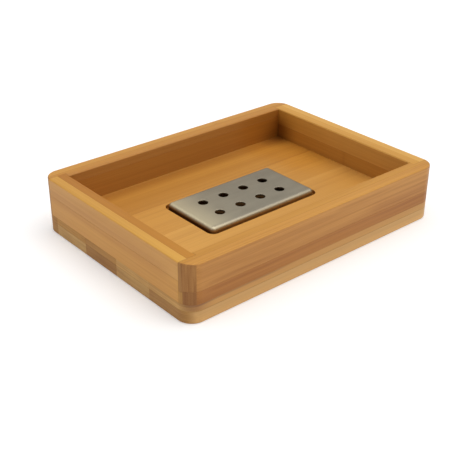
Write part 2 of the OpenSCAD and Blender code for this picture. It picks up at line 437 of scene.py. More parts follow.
# Axes of a board along its fibres, through its thickness and across its breadth
LAYS = {"long": ("X", "Y", "Z"), "short": ("Y", "X", "Z"), "base": ("X", "Z", "Y")}
# How squarely a face looks along the fibres where end grain begins to show, and where it is full
END_FACING = {"long": (0.32, 0.42), "short": (0.32, 0.42), "base": (0.30, 1.00)}
# How squarely a face looks across the breadth where the edge's tint begins, and where it is full
EDGE_FACING = (0.5, 0.8)

# Sides run from the dark to the light tint of a slot's colour, and lie at the level where nothing moves them.
# End grain does the same between tints of its own colour.
DARK_TINT = (0.78, 0.68, 0.60)
LIGHT_TINT = (1.12, 1.17, 1.22)
LEVEL = 0.64
END_TINT = (0.80, 0.84, 0.98)
GLUE_TINT = (0.45, 0.36, 0.30)
# How dark a glue line is by itself, and how much a band of the figure changes it
GLUE_LEVEL = 0.6
GLUE_BAND = 2.0

# A layer of noise in board space: how far a feature reaches along the fibres, through the thickness and
# across the breadth, how far the board's number moves it each way, its detail, and how much it lightens the
# wood. Rind and ply show in end grain alone and don't change along the fibres.
Layer = namedtuple("Layer", "reach shift detail light")
ENDLESS = 1000.0
DRIFT = Layer((0.13, 0.0075, 0.0075), (1.3, 3.1, -5.7), 1.0, 0.55)
BAND = Layer((0.19, 0.0016, 0.0016), (2.9, 3.1, -5.7), 2.0, 0.60)
FIBRE = Layer((0.05, 0.00045, 0.00045), (4.3, 3.1, -5.7), 2.0, 0.55)
DASH = Layer((0.012, 0.00022, 0.00022), (6.1, 3.1, -5.7), 1.0, -0.10)
RIND = Layer((ENDLESS, 0.0011, 0.03), (2.3, 1.0, 0.0), 2.0, 1.2)
PLY = Layer((ENDLESS, 0.0005, 0.012), (4.1, -1.0, 0.0), 1.0, 1.3)
END_DRIFT_LIGHT = 0.6
# Noise at which a dash begins, and at which it is full
DASH_NOISE = (0.10, 0.22)
# Reach of a pore's cell along, through and across, and the shares of it where the pore ends and is full
PORE_CELL = (0.01, 0.00042, 0.00042)
PORE_FADE = (0.42, 0.12)
PORE_LIGHT = -0.25

# How far a vein and a shade fade to each side, the share of that which is their core, how far they take to
# begin and to end, and the length and height of their wavering
VEIN_REACH = 0.0011
SHADE_REACH = 0.0042
CORE_SHARE = 0.1
LINE_RISE = 0.012
LINE_FALL = 0.03
LINE_WAVER = (0.025, 0.0008)
VEIN_LIGHT = -0.50
SHADE_LIGHT = -0.32
# Distances over which a cane joint's line and its halo fade, their shares, and its wavering
JOINT_LINE = (0.0009, 0.0001)
JOINT_HALO = (0.0035, 0.0006)
JOINT_SHARES = (0.7, 0.3)
JOINT_WAVER = (0.0025, 0.0015)
JOINT_LIGHT = -0.22

# Painted light and shade, and a darker seam: their tints, where they lie, and how strong their parts are. The
# painted shade of the cavity's back corner starts further forward on the right wall, and is weaker on the
# back wall and towards the rim.
# Painted light: the front and back faces of the base get lighter towards their foot, standing in for bounce
# light from the white floor
FOOT_BOUNCE_TINT = (1.22, 1.25, 1.25)
FOOT_BOUNCE = {"Z": (0.0050, 0.0004)}
# Painted shade: the recess round the plate is darkened, and the well below it darker still from the recess's
# floor down
RECESS_SHADE_TINT = (0.60, 0.44, 0.17)
WELL_SHADE_TINT = (0.38, 0.42, 0.40)
WELL_SHADE = {"Z": (0.0084, 0.0070)}
# Darker near the base's front left corner and in a thin line just under the front wall's left half
SEAM_DARK_TINT = (0.53, 0.46, 0.60)
SEAM_DARK_CORNER = {"X": (-0.0520, -0.0640), "Z": (0.0046, 0.0058)}
SEAM_DARK_LINE = {"X": (-0.0120, -0.0300), "Z": (0.0068, 0.0075)}
SEAM_DARK_SHARES = (0.70, 0.60)
SEAM_DARK_FRONT = {"Y": (-0.0405, -0.0462)}
# Painted shade: the cavity gets darker towards its back right, and much darker in its back right corner,
# where the walls block the light
BACK_RIGHT_SHADE_TINT = (0.96, 0.88, 0.58)
BACK_RIGHT_SHADE = {"X": (0.028, 0.042), "Y": (-0.004, 0.012)}
CORNER_SHADE_TINT = (0.42, 0.32, 0.20)
CORNER_SHADE = {"X": (0.040, 0.0575), "Y": (0.026, 0.0395)}
CORNER_FORWARD = 0.0015
CORNER_BACK_LOSS = 0.50
CORNER_RIM = {"Z": (0.015, 0.023)}
CORNER_RIM_LOSS = 0.75

# Relief: the height of a fibre, how strong it shows, and the depths of other marks as shares of it
FIBRE_HEIGHT = 0.00003
RELIEF = 0.35
DASH_DEPTH = 0.4
VEIN_DEPTH = 0.6
PORE_DEPTH = 0.6
# The oiled surface, and how much rougher end grain and smoother a fibre is
OILED = {"IOR": 1.45, "Specular IOR Level": 0.42}
END_ROUGHER = 0.12
FIBRE_SMOOTHER = 0.10


def bamboo(slot, tone, lay, look):
    """Laminated bamboo of one colour, its fibres along one axis.

    Every layer is noise in board space: a place over the reach of its features, moved by the board's own
    number so that no two boards share their figure.
    """
    material = bpy.data.materials.new(f"{slot}_{lay}")
    graph = Graph(material)
    place, facing = graph.place_and_facing()
    board = graph.attribute("board")
    space = [place[axis] for axis in LAYS[lay]]
    along, _, broad = space

    def layer(kind):
        moved = [part / reach + board * shift for part, reach, shift in zip(space, kind.reach, kind.shift)]
        return graph.noise(graph.vector(*moved), kind.detail)

    drift, band, fibre = layer(DRIFT), layer(BAND), layer(FIBRE)
    dash = layer(DASH).step(*DASH_NOISE)
    vein = dark_line(graph, "vein", along, broad, VEIN_REACH)
    vein = vein.at_least(dark_line(graph, "upper_vein", along, broad, VEIN_REACH))
    shade = dark_line(graph, "shade", along, broad, SHADE_REACH)
    edge = abs(facing[LAYS[lay][2]]).step(*EDGE_FACING)
    fade = graph.split(graph.attribute("fade", "Vector"))
    figure = drift * DRIFT.light + band * BAND.light + fibre * FIBRE.light + dash * DASH.light
    light = LEVEL + graph.attribute("figure") * look.figure * figure
    light = light + along * (fade["X"] * (1.0 - edge) + fade["Y"] * edge)
    light = light + vein * VEIN_LIGHT + shade * SHADE_LIGHT + cane_joint(graph, along, broad) * JOINT_LIGHT
    sides = graph.mix(light.clamped(), tinted(tone, DARK_TINT), tinted(tone, LIGHT_TINT))

    cell = graph.vector(*(part / reach for part, reach in zip(space, PORE_CELL)))
    pore = graph.add("ShaderNodeTexVoronoi", {}, {"Vector": cell, "Scale": 1.0})["Distance"].step(*PORE_FADE)
    light = LEVEL + drift * END_DRIFT_LIGHT + layer(RIND) * RIND.light + layer(PLY) * PLY.light
    light = (light + pore * PORE_LIGHT).clamped()
    end_tone = [channel * share for channel, share in zip(tone, END_TINT)]
    ends = graph.mix(light, tinted(end_tone, DARK_TINT), tinted(end_tone, LIGHT_TINT))
    end = abs(facing[LAYS[lay][0]]).step(*END_FACING[lay])

    tint = graph.mix(edge, graph.attribute("face", "Vector"), graph.attribute("edge", "Vector"))
    tint = graph.mix(end, tint, graph.attribute("end", "Vector"))
    wood = graph.times(graph.mix(end, sides, ends), tint)
    wood = painted_shading_and_seam_dark(graph, wood, tone, place, facing, edge * (1.0 - end), look)
    glue = graph.attribute("seam") * look.glue * (GLUE_LEVEL + band * GLUE_BAND).clamped()
    relief = fibre - dash * DASH_DEPTH - vein * VEIN_DEPTH - pore * end * PORE_DEPTH
    graph.surface(
        {
            "Base Color": graph.mix(glue, wood, tinted(tone, GLUE_TINT)),
            "Roughness": look.roughness + end * END_ROUGHER - fibre * FIBRE_SMOOTHER,
            "Normal": graph.bump(relief, RELIEF, FIBRE_HEIGHT),
            **OILED,
        }
    )
    return material


def dark_line(graph, name, along, broad, reach):
    """A dark line at a height, from a start to an end along the grain, that wavers and fades out. Reach is
    how far it fades to each side."""
    course = graph.split(graph.attribute(name, "Vector"))
    run, height = LINE_WAVER
    waver = graph.noise(graph.vector(along / run, 0.0, 0.0), detail=1.0) * height
    line = abs(broad - course["X"] + waver).step(reach, reach * CORE_SHARE)
    return line * (along - course["Y"]).step(0.0, LINE_RISE) * (course["Z"] - along).step(0.0, LINE_FALL)


def cane_joint(graph, along, broad):
    """A fine dark line square to the grain in a soft halo, where the cane had a joint."""
    run, width = JOINT_WAVER
    waver = graph.noise(graph.vector(0.0, 0.0, broad / run), detail=2.0) * width
    distance = abs(along - graph.attribute("knot") + waver)
    return distance.step(*JOINT_LINE) * JOINT_SHARES[0] + distance.step(*JOINT_HALO) * JOINT_SHARES[1]


def painted_shading_and_seam_dark(graph, wood, tone, place, facing, side, look):
    """Wood with painted light and shade and a darker seam: painted bounce light on the side's foot, painted
    shade in the recess and the well, darker near the base's near corner and in a thin line under the front
    wall, and painted shade towards the cavity's back right and in its back corner."""
    # Painted light on the foot of the base's front and back
    wood = graph.wash(wood, side * region(place, FOOT_BOUNCE) * look.rubbed_foot, FOOT_BOUNCE_TINT)
    # Painted shade in the recess and, deeper down, in the well
    shade_colour = graph.mix(region(place, WELL_SHADE), tinted(tone, RECESS_SHADE_TINT), tinted(tone, WELL_SHADE_TINT))
    wood = graph.mix(graph.attribute("stain") * look.stain, wood, shade_colour)
    # Darker near the base's front left corner and under the front wall
    smear = region(place, SEAM_DARK_CORNER) * SEAM_DARK_SHARES[0] + region(place, SEAM_DARK_LINE) * SEAM_DARK_SHARES[1]
    smear = smear.clamped() * region(place, SEAM_DARK_FRONT) * graph.attribute("smear")
    wood = graph.wash(wood, smear, SEAM_DARK_TINT)
    # Painted shade towards the cavity's back right and in its corner
    cavity = graph.attribute("cavity") * look.corner_stain
    wood = graph.wash(wood, region(place, BACK_RIGHT_SHADE) * cavity, BACK_RIGHT_SHADE_TINT)
    forward = place | {"Y": place["Y"] + abs(facing["X"]) * CORNER_FORWARD}
    corner = region(forward, CORNER_SHADE) * cavity * (1.0 - abs(facing["Y"]) * CORNER_BACK_LOSS)
    return graph.wash(wood, corner * (1.0 - region(place, CORNER_RIM) * CORNER_RIM_LOSS), CORNER_SHADE_TINT)


def bamboo_for(slot, lay, look):
    """The bamboo of a slot and lay, made once."""
    tone = getattr(look, slot.removesuffix("_bamboo"))
    return bpy.data.materials.get(f"{slot}_{lay}") or bamboo(slot, tone, lay, look)


# Steel

# Reach of the brushing's and the clouds' noise along X and across it, and how much each lightens the steel
# and roughens it
BRUSH_REACH = (0.018, 0.00012)
CLOUD_REACH = (0.012, 0.006)
BRUSH_LIGHT = 1.2
CLOUD_LIGHT = 0.7
BRUSH_ROUGHER = 0.15
CLOUD_ROUGHER = 0.06
SCRATCH_DEPTH = 0.00001
SCRATCH_RELIEF = 0.25
# Tints of the steel's colour between which it is brushed, of the painted reflection that makes it bright, and
# of the painted shade on the foot of the skirt, on its ends and on its long sides
STEEL_DARK = (0.68, 0.68, 0.67)
STEEL_LIGHT = (0.94, 0.95, 0.95)
STEEL_GLEAM_TINT = (1.47, 1.44, 1.27)
SKIRT_END_SHADE = (0.28, 0.17, 0.09)
SKIRT_SIDE_SHADE = (1.00, 0.76, 0.36)
# Where the painted reflection lies: two falls from the left end with their shares, weaker along the front
# edge
GLEAM_NEAR = {"X": (-0.0130, -0.0290)}
GLEAM_FAR = {"X": (0.0020, -0.0290)}
GLEAM_SHARES = (0.7, 0.3)
GLEAM_FRONT = {"Y": (-0.0118, -0.0142)}
GLEAM_FRONT_LOSS = 0.6
# Painted shade on the skirt, from the top of the bend down
SKIRT_SHADE_ZONE = {"Z": (0.0121, 0.0100)}


def brushed_steel(plate):
    """Stainless steel with fine brushing along X, in its roughness and as very shallow scratches."""
    material = bpy.data.materials.new("drain_plate_steel")
    graph = Graph(material)
    place, facing = graph.place_and_facing()

    def noise(reach, detail):
        along, across = reach
        return graph.noise(graph.vector(place["X"] / along, place["Y"] / across, place["Z"] / across), detail)

    brush, cloud = noise(BRUSH_REACH, detail=3.0), noise(CLOUD_REACH, detail=2.0)
    light = (0.5 + brush * BRUSH_LIGHT + cloud * CLOUD_LIGHT).clamped()
    grey = graph.mix(light, tinted(plate.steel, STEEL_DARK), tinted(plate.steel, STEEL_LIGHT))
    # Painted reflection: the plate gets lighter towards its left end, less so along its front edge
    gleam = region(place, GLEAM_NEAR) * GLEAM_SHARES[0] + region(place, GLEAM_FAR) * GLEAM_SHARES[1]
    gleam = gleam * (1.0 - region(place, GLEAM_FRONT) * GLEAM_FRONT_LOSS)
    bright = graph.mix(gleam, grey, tinted(plate.steel, STEEL_GLEAM_TINT))
    # Painted shade on the skirt in the gap round the plate: darkest on its ends, lighter on its long sides
    ends, sides = tinted(plate.steel, SKIRT_END_SHADE), tinted(plate.steel, SKIRT_SIDE_SHADE)
    painted_shade = graph.mix(abs(facing["Y"]), ends, sides)
    graph.surface(
        {
            "Base Color": graph.mix(region(place, SKIRT_SHADE_ZONE), bright, painted_shade),
            "Metallic": 1.0,
            "Roughness": plate.roughness + brush * BRUSH_ROUGHER + cloud * CLOUD_ROUGHER,
            "Normal": graph.bump(brush, SCRATCH_RELIEF, SCRATCH_DEPTH),
        }
    )
    return material


# Surfaces

# Faces that meet at more than this shade as an edge
SHARP_ANGLE = math.radians(28)
# Ring heights are rounded to this many decimals of a metre, so that equal ones merge
HEIGHT_DECIMALS = 8
# A ring lies on a board's flat end or its arris when it is within this many arrises of the end
END_BAND = 1.5
# Steps round the short bits of outline at a long wall's tongues and a short wall's ends, and round each
# corner of the recess and the well
TONGUE_STEPS = 4
SHORT_END_STEPS = 3
POCKET_STEPS = 8
# A board's number, which moves its figure, is the first of these plus the other times the place of its name
# in the alphabet
BOARD_NUMBERS = (0.37, 1.7)


def skin(rings):
    """Four-sided faces between neighbouring rings of equal point counts, closed round each ring.

    Point j of ring k has the index k * count + j. Rings that run anticlockwise seen from above, stacked
    upwards, give faces that point outwards.
    """
    levels, count = rings.shape[:2]
    index = np.arange(levels * count).reshape(levels, count)
    ahead = np.roll(index, -1, axis=1)
    return np.stack([index[:-1], ahead[:-1], ahead[1:], index[1:]], axis=-1).reshape(-1, 4)


def add_piece(name, mesh, material, body, nodes):
    """Links a mesh as a piece that rides on a body and stands for CAD nodes."""
    mesh.materials.append(material)
    mesh.shade_smooth()
    mesh.set_sharp_from_angle(angle=SHARP_ANGLE)
    piece = bpy.data.objects.new(name, mesh)
    bpy.context.scene.collection.objects.link(piece)
    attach(piece, body)
    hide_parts(*nodes)
    return piece


def point_attribute(mesh, name, values):
    """A vector, given as a tuple, on all of a mesh's points, or a number on all or on each of them."""
    vector = isinstance(values, tuple)
    shape = (len(mesh.vertices), 3) if vector else len(mesh.vertices)
    filled = np.broadcast_to(values, shape).astype(np.float32).ravel()
    attribute = mesh.attributes.new(name, "FLOAT_VECTOR" if vector else "FLOAT", "POINT")
    attribute.data.foreach_set("vector" if vector else "value", filled)


def dish_sizes(boards, plate):
    """The sizes that the boards share, read from the frame's boxes and the settings."""
    low, high = CAD_BOX
    front_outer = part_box("front_outer_upper_strip")
    front_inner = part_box("front_inner_upper_strip")
    left_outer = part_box("left_outer_upper_strip")
    plate_low, plate_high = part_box("drain_plate")
    return SimpleNamespace(
        length=high[0] - low[0],
        width=high[1] - low[1],
        height=high[2],
        outer_ply=front_outer[1].y - front_outer[0].y,
        wall=front_inner[1].y - low[1],
        tongue=high[1] - left_outer[1].y,
        rim_z=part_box("front_outer_lower_strip")[0].z,
        seat_z=plate_low.z,
        plate_length=plate_high.x - plate_low.x,
        plate_width=plate_high.y - plate_low.y,
        plate_top=plate_high.z,
        corner=boards.corner_radius,
        edge=boards.edge_radius,
        bevel=boards.mouth_bevel,
        arris=boards.arris,
        reach=boards.glue_line,
        corner_steps=boards.corner_steps,
        edge_steps=boards.edge_steps,
    )


# Plan sections of the boards. A section is an anticlockwise loop of (x, y, seam) rows, where seam is 1 on
# the sides that are glued to another board and at their corners, and 0 on the sides that show.


def side(dish, start, end, glued, first=None, last=None):
    """A straight side as four points: its ends, held back by first and last, and a support point by each.

    A point at distance s from the start is start + (end - start) * s / length. Both ends are held back by
    the arris unless told otherwise, which chamfers the corner between two sides.
    """
    first = dish.arris if first is None else first
    last = dish.arris if last is None else last
    start, end = np.array(start), np.array(end)
    length = np.linalg.norm(end - start)
    reach = min(dish.reach, (length - first - last) / 3)
    distance = np.array([first, first + reach, length - last - reach, length - last])
    points = start + np.outer(distance / length, end - start)
    corner = [float(first == dish.arris), 0.0, 0.0, float(last == dish.arris)]
    return np.column_stack([points, np.ones(4) if glued else corner])


def bend(centre, radius, start, end, steps, corners=(0.0, 0.0)):
    """A round side: centre + radius * (cos, sin) of angles spread evenly from start to end."""
    angle = np.linspace(start, end, steps + 1)
    seam = np.zeros(steps + 1)
    seam[[0, -1]] = corners
    return np.column_stack([centre[0] + radius * np.cos(angle), centre[1] + radius * np.sin(angle), seam])


def mirrored(half, axis):
    """A loop from one half and its mirror image. Axis 0 mirrors X, for a half from the middle of the front to
    the middle of the back, and axis 1 mirrors Y, for one from the middle of the left to that of the right."""
    other = half[::-1].copy()
    other[:, axis] *= -1
    return np.concatenate([half, other])


def long_outer_plan(dish, outline, glue, mouth):
    """Outer ply of the front wall: the tray's outline, cut off straight at the ply's back face. The corner's
    arc ends at the angle whose sine is (back - y) / radius, from its centre at x and y."""
    radius = dish.corner - outline
    x, y = dish.length / 2 - dish.corner, -dish.width / 2 + dish.corner
    back = -dish.width / 2 + dish.outer_ply - glue
    turn = math.asin((back - y) / radius)
    corner = bend((x, y), radius, -math.pi / 2, turn - dish.arris / radius, dish.corner_steps, (0.0, 1.0))
    end = (x + radius * math.cos(turn), back)
    front = side(dish, (0, y - radius), (x, y - radius), False, 0, dish.reach)[1:]
    return mirrored(np.concatenate([front, corner, side(dish, end, (0, back), True, last=0)[:3]]), 0)


def long_inner_plan(dish, outline, glue, mouth):
    """Inner ply of the front wall. A tongue runs past each shoulder to the tray's outline, as a rebate for
    the short wall. Its arc runs between the angles whose sines are (front - y) and (tongue - y) / radius."""
    radius = dish.corner - outline
    x, y = dish.length / 2 - dish.corner, -dish.width / 2 + dish.corner
    front = -dish.width / 2 + dish.outer_ply + glue
    tongue = -dish.width / 2 + dish.tongue - glue
    inside = -dish.width / 2 + dish.wall - mouth
    shoulder = dish.length / 2 - dish.wall - glue
    low_turn, high_turn = math.asin((front - y) / radius), math.asin((tongue - y) / radius)
    held = dish.arris / radius
    parts = [
        side(dish, (0, front), (x + radius * math.cos(low_turn), front), True, 0)[1:],
        bend((x, y), radius, low_turn + held, high_turn - held, TONGUE_STEPS, (1.0, 1.0)),
        side(dish, (x + radius * math.cos(high_turn), tongue), (shoulder, tongue), True, last=0),
        side(dish, (shoulder, tongue), (shoulder, inside), True, dish.reach),
        side(dish, (shoulder, inside), (0, inside), False, last=0)[:3],
    ]
    return mirrored(np.concatenate(parts), 0)


def short_outer_plan(dish, outline, glue, mouth):
    """Outer ply of the left wall: the tray's outline, cut off straight at the long walls' tongues. The arc at
    its front end turns by the angle whose sine is (y - end) / radius."""
    radius = dish.corner - outline
    x, y = -dish.length / 2 + dish.corner, -dish.width / 2 + dish.corner
    end = -dish.width / 2 + dish.tongue + glue
    inside = -dish.length / 2 + dish.outer_ply - glue
    turn = math.asin((y - end) / radius)
    parts = [
        side(dish, (x - radius, 0), (x - radius, y), False, 0, dish.reach)[1:],
        bend((x, y), radius, math.pi, math.pi + turn - dish.arris / radius, SHORT_END_STEPS, (0.0, 1.0)),
        side(dish, (x - radius * math.cos(turn), end), (inside, end), True),
        side(dish, (inside, end), (inside, 0), True, last=0)[:3],
    ]
    return mirrored(np.concatenate(parts), 1)


def short_inner_plan(dish, outline, glue, mouth):
    """Inner ply of the left wall: a rectangle with a butt end in the long walls' rebates. The mouth's bevel
    runs out beside the butt, over a quarter of a glue line's width."""
    end = -dish.width / 2 + dish.tongue + glue
    outside = -dish.length / 2 + dish.outer_ply + glue
    butt = -dish.length / 2 + dish.wall - glue
    inside = -dish.length / 2 + dish.wall - mouth
    notch = -dish.width / 2 + dish.wall - mouth
    run_out = dish.reach / 4
    parts = [
        side(dish, (outside, 0), (outside, end), True, 0)[1:],
        side(dish, (outside, end), (butt, end), True),
        side(dish, (butt, end), (butt, notch - dish.arris), True, last=0),
        side(dish, (inside, notch + dish.arris), (inside, 0), False, run_out, 0)[:3],
    ]
    return mirrored(np.concatenate(parts), 1)


def notch_right(dish, notch, open_y):
    """Right half of a notch in a stave's back side, from its mouth to its middle: half of a rectangle whose
    inner corner is a quarter circle."""
    half_length, half_width, radius = notch
    parts = [
        side(dish, (half_length, open_y), (half_length, -half_width + radius), False, last=dish.reach),
        bend((half_length - radius, -half_width + radius), radius, 0, -math.pi / 2, POCKET_STEPS),
        side(dish, (half_length - radius, -half_width), (0, -half_width), False, dish.reach, 0)[:3],
    ]
    return np.concatenate(parts)


def end_stave_plan(half_length, front, corner, back, dish, glue):
    """Foremost stave: a rectangle whose front corners are quarter circles."""
    centre = (half_length - corner, front + corner)
    parts = [
        side(dish, (0, front), (centre[0], front), False, 0, dish.reach)[1:],
        bend(centre, corner, -math.pi / 2, 0, dish.corner_steps),
        side(dish, (half_length, centre[1]), (half_length, back - glue), False, dish.reach),
        side(dish, (half_length, back - glue), (0, back - glue), True, last=0)[:3],
    ]
    return mirrored(np.concatenate(parts), 0)


def middle_stave_plan(half_length, front, back, dish, glue, notch):
    """Stave between two others: a rectangle, with a notch in its back side or none."""
    parts = [
        side(dish, (0, front + glue), (half_length, front + glue), True, 0)[1:],
        side(dish, (half_length, front + glue), (half_length, back - glue), False),
    ]
    if notch:
        parts.append(side(dish, (half_length, back - glue), (notch[0], back - glue), True))
        parts.append(notch_right(dish, notch, back - glue))
    else:
        parts.append(side(dish, (half_length, back - glue), (0, back - glue), True, last=0)[:3])
    return mirrored(np.concatenate(parts), 0)


# Boards


def eased(dish, z):
    """How far the eased edges draw the outline in at height z: e - sqrt(e^2 - h^2), h above their foot."""
    past = max(dish.edge - z, z - (dish.height - dish.edge), 0.0)
    return dish.edge - math.sqrt(max(dish.edge**2 - past**2, 0.0))


def ring_heights(dish, low, high):
    """Heights of a board's rings: both arrises with a support ring by each, or an eased edge's steps, which
    rise by its radius * sin(angle)."""
    rise = dish.edge * np.sin(np.linspace(0, math.pi / 2, dish.edge_steps + 1))
    if low < dish.edge:
        bottom = np.append(dish.edge - rise[::-1], dish.edge + dish.reach)
    else:
        bottom = low + np.array([0, dish.arris, dish.arris + dish.reach])
    if high > dish.height - dish.edge:
        foot = dish.height - dish.edge
        top = np.append(foot + rise, [foot - dish.reach, dish.height - dish.bevel, dish.height - dish.arris])
    else:
        top = high - np.array([0, dish.arris, dish.arris + dish.reach])
    return np.unique(np.round(np.concatenate([bottom, top]), HEIGHT_DECIMALS))


def board_rings(dish, plan, low, high, top_shows=False, bottom_shows=False):
    """Rings of (x, y, z, seam) up a board, and one more inside each flat end. Within an arris of an end the
    plan draws in by the rest of the arris, and below the rim its inside draws in by the bevel likewise."""

    def ring(z, inset, glue_here):
        chamfer = max(dish.arris - (z - low), dish.arris - (high - z), 0.0)
        outline = max(eased(dish, z), chamfer) + inset
        mouth = max(z - (dish.height - dish.bevel), chamfer) + inset
        loop = plan(dish, outline, chamfer + inset, mouth)
        seam = np.zeros(len(loop)) if inset else np.maximum(loop[:, 2], glue_here)
        return np.column_stack([loop[:, :2], np.full(len(loop), z), seam])

    rings = [ring(low, dish.reach, 0.0)]
    for z in ring_heights(dish, low, high):
        by_bottom = z <= low + dish.arris * END_BAND and not bottom_shows
        by_top = z >= high - dish.arris * END_BAND and not top_shows
        rings.append(ring(z, 0.0, float(by_bottom or by_top)))
    rings.append(ring(high, dish.reach, 0.0))
    return np.array(rings)


def turned(rings, flip_x, flip_y):
    """Rings mirrored in X or Y, with their points in reverse where that would turn the faces inwards."""
    rings = rings * np.array([-1 if flip_x else 1, -1 if flip_y else 1, 1, 1])
    return rings[:, ::-1] if flip_x != flip_y else rings


def add_board(node, rings, lay, look, painted_shade=0.0, cavity=0.0):
    """A board from its rings: a skin round them and a flat face on each end. The painted shade mask tells
    which points of the rings lie in the recess or the well, where shade is painted, and cavity which lie on
    the cavity's walls and floor, where shade is painted towards the back right."""
    count = rings.shape[1]
    faces = skin(rings).tolist()
    faces.append(list(range(count))[::-1])
    faces.append(list(range((len(rings) - 1) * count, len(rings) * count)))
    mesh = bpy.data.meshes.new(node + "_board")
    mesh.from_pydata(rings.reshape(-1, 4)[:, :3].tolist(), [], faces)
    point_attribute(mesh, "seam", rings.reshape(-1, 4)[:, 3])
    point_attribute(mesh, "stain", np.ravel(painted_shade * np.ones(rings.shape[:2])))
    point_attribute(mesh, "cavity", np.ravel(cavity * np.ones(rings.shape[:2])))
    first, gap = BOARD_NUMBERS
    point_attribute(mesh, "board", first + gap * sorted(SLOT_OF).index(node))
    for name, value in (PLAIN_BOARD | BOARDS.get(node, {})).items():
        point_attribute(mesh, name, value)
    return add_piece(mesh.name, mesh, bamboo_for(SLOT_OF[node], lay, look), TRAY, [node])


def add_wall_strips(walls, plies, lay, settings):
    """Both strips of each ply of some walls. A wall is given as (name, flip in X, flip in Y)."""
    dish = dish_sizes(settings.soap_dish_boards, settings.soap_dish_plate)
    cavity = (dish.length / 2 - dish.wall + dish.reach, dish.width / 2 - dish.wall + dish.reach)
    for wall, flip_x, flip_y in walls:
        for ply, plan in plies:
            for strip in ("upper", "lower"):
                node = f"{wall}_{ply}_{strip}_strip"
                low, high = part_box(node)
                shows = strip == "upper"
                rings = board_rings(dish, plan, low.z, high.z, top_shows=shows)
                in_cavity = (abs(rings[..., 0]) < cavity[0]) & (abs(rings[..., 1]) < cavity[1])
                in_cavity &= rings[..., 2] < dish.height - dish.bevel / 2
                # The right wall's painted shade grows towards the back
                share = np.clip(rings[..., 1] / cavity[1], 0.0, 1.0) if wall == "right" else 1.0
                marks = np.where(in_cavity, share, 0.0)
                rings[..., 3] *= np.where(in_cavity, CAVITY_SEAM_SHARE, 1.0)
                marks = marks[:, ::-1] if flip_x != flip_y else marks
                add_board(node, turned(rings, flip_x, flip_y), lay, settings.soap_dish_bamboo, 0.0, marks)


class SOAPDISH_OT_long_walls(bpy.types.Operator):
    """Make the strips of the front and back walls"""

    bl_idname = "soap_dish.long_walls"
    bl_label = "Long walls"

    def execute(self, context):
        walls = (("front", False, False), ("back", False, True))
        plies = (("outer", long_outer_plan), ("inner", long_inner_plan))
        add_wall_strips(walls, plies, "long", context.scene)
        return {"FINISHED"}


class SOAPDISH_OT_short_walls(bpy.types.Operator):
    """Make the strips of the left and right walls"""

    bl_idname = "soap_dish.short_walls"
    bl_label = "Short walls"

    def execute(self, context):
        walls = (("left", False, False), ("right", True, False))
        plies = (("outer", short_outer_plan), ("inner", short_inner_plan))
        add_wall_strips(walls, plies, "short", context.scene)
        return {"FINISHED"}


def stave_plan(node, low, high, flip, half_length, half_width, corner, notch):
    """The plan of a stave as a function of its insets, drawn as if a front or notched stave lay at the front.

    The outline's half sizes and corner are given for this level. The stave's own front and back edges come
    from its box, turned round when flip is true.
    """
    front, back = (-high.y, -low.y) if flip else (low.y, high.y)

    def plan(dish, outline, glue, mouth):
        if node.endswith(("_front", "_back")):
            radius = max(corner - outline, dish.arris)
            return end_stave_plan(half_length - outline, -half_width + outline, radius, back, dish, glue)
        pocket = notch and (notch[0] + glue, notch[1] + glue, notch[2] + glue)
        return middle_stave_plan(half_length - outline, front, back, dish, glue, pocket)

    return plan


STAVES = ("front", "front_middle", "centre", "back_middle", "back")
TURNED_STAVES = ("centre", "back")
NOTCHED_STAVES = ("front_middle", "centre")


class SOAPDISH_OT_lower_staves(bpy.types.Operator):
    """Make the staves of the base board's lower ply"""

    bl_idname = "soap_dish.lower_staves"
    bl_label = "Lower staves"

    def execute(self, context):
        scene = context.scene
        dish = dish_sizes(scene.soap_dish_boards, scene.soap_dish_plate)
        for name in STAVES:
            node = f"lower_stave_{name}"
            low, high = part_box(node)
            flip = name in TURNED_STAVES
            plan = stave_plan(node, low, high, flip, dish.length / 2, dish.width / 2, dish.corner, None)
            rings = board_rings(dish, plan, low.z, high.z, bottom_shows=True)
            # The tops of the lower staves, which floor the well, get painted shade
            painted_shade = rings[..., 2] > high.z - dish.arris / 2
            painted_shade = painted_shade[:, ::-1] if flip else painted_shade
            add_board(node, turned(rings, False, flip), "base", scene.soap_dish_bamboo, painted_shade)
        return {"FINISHED"}


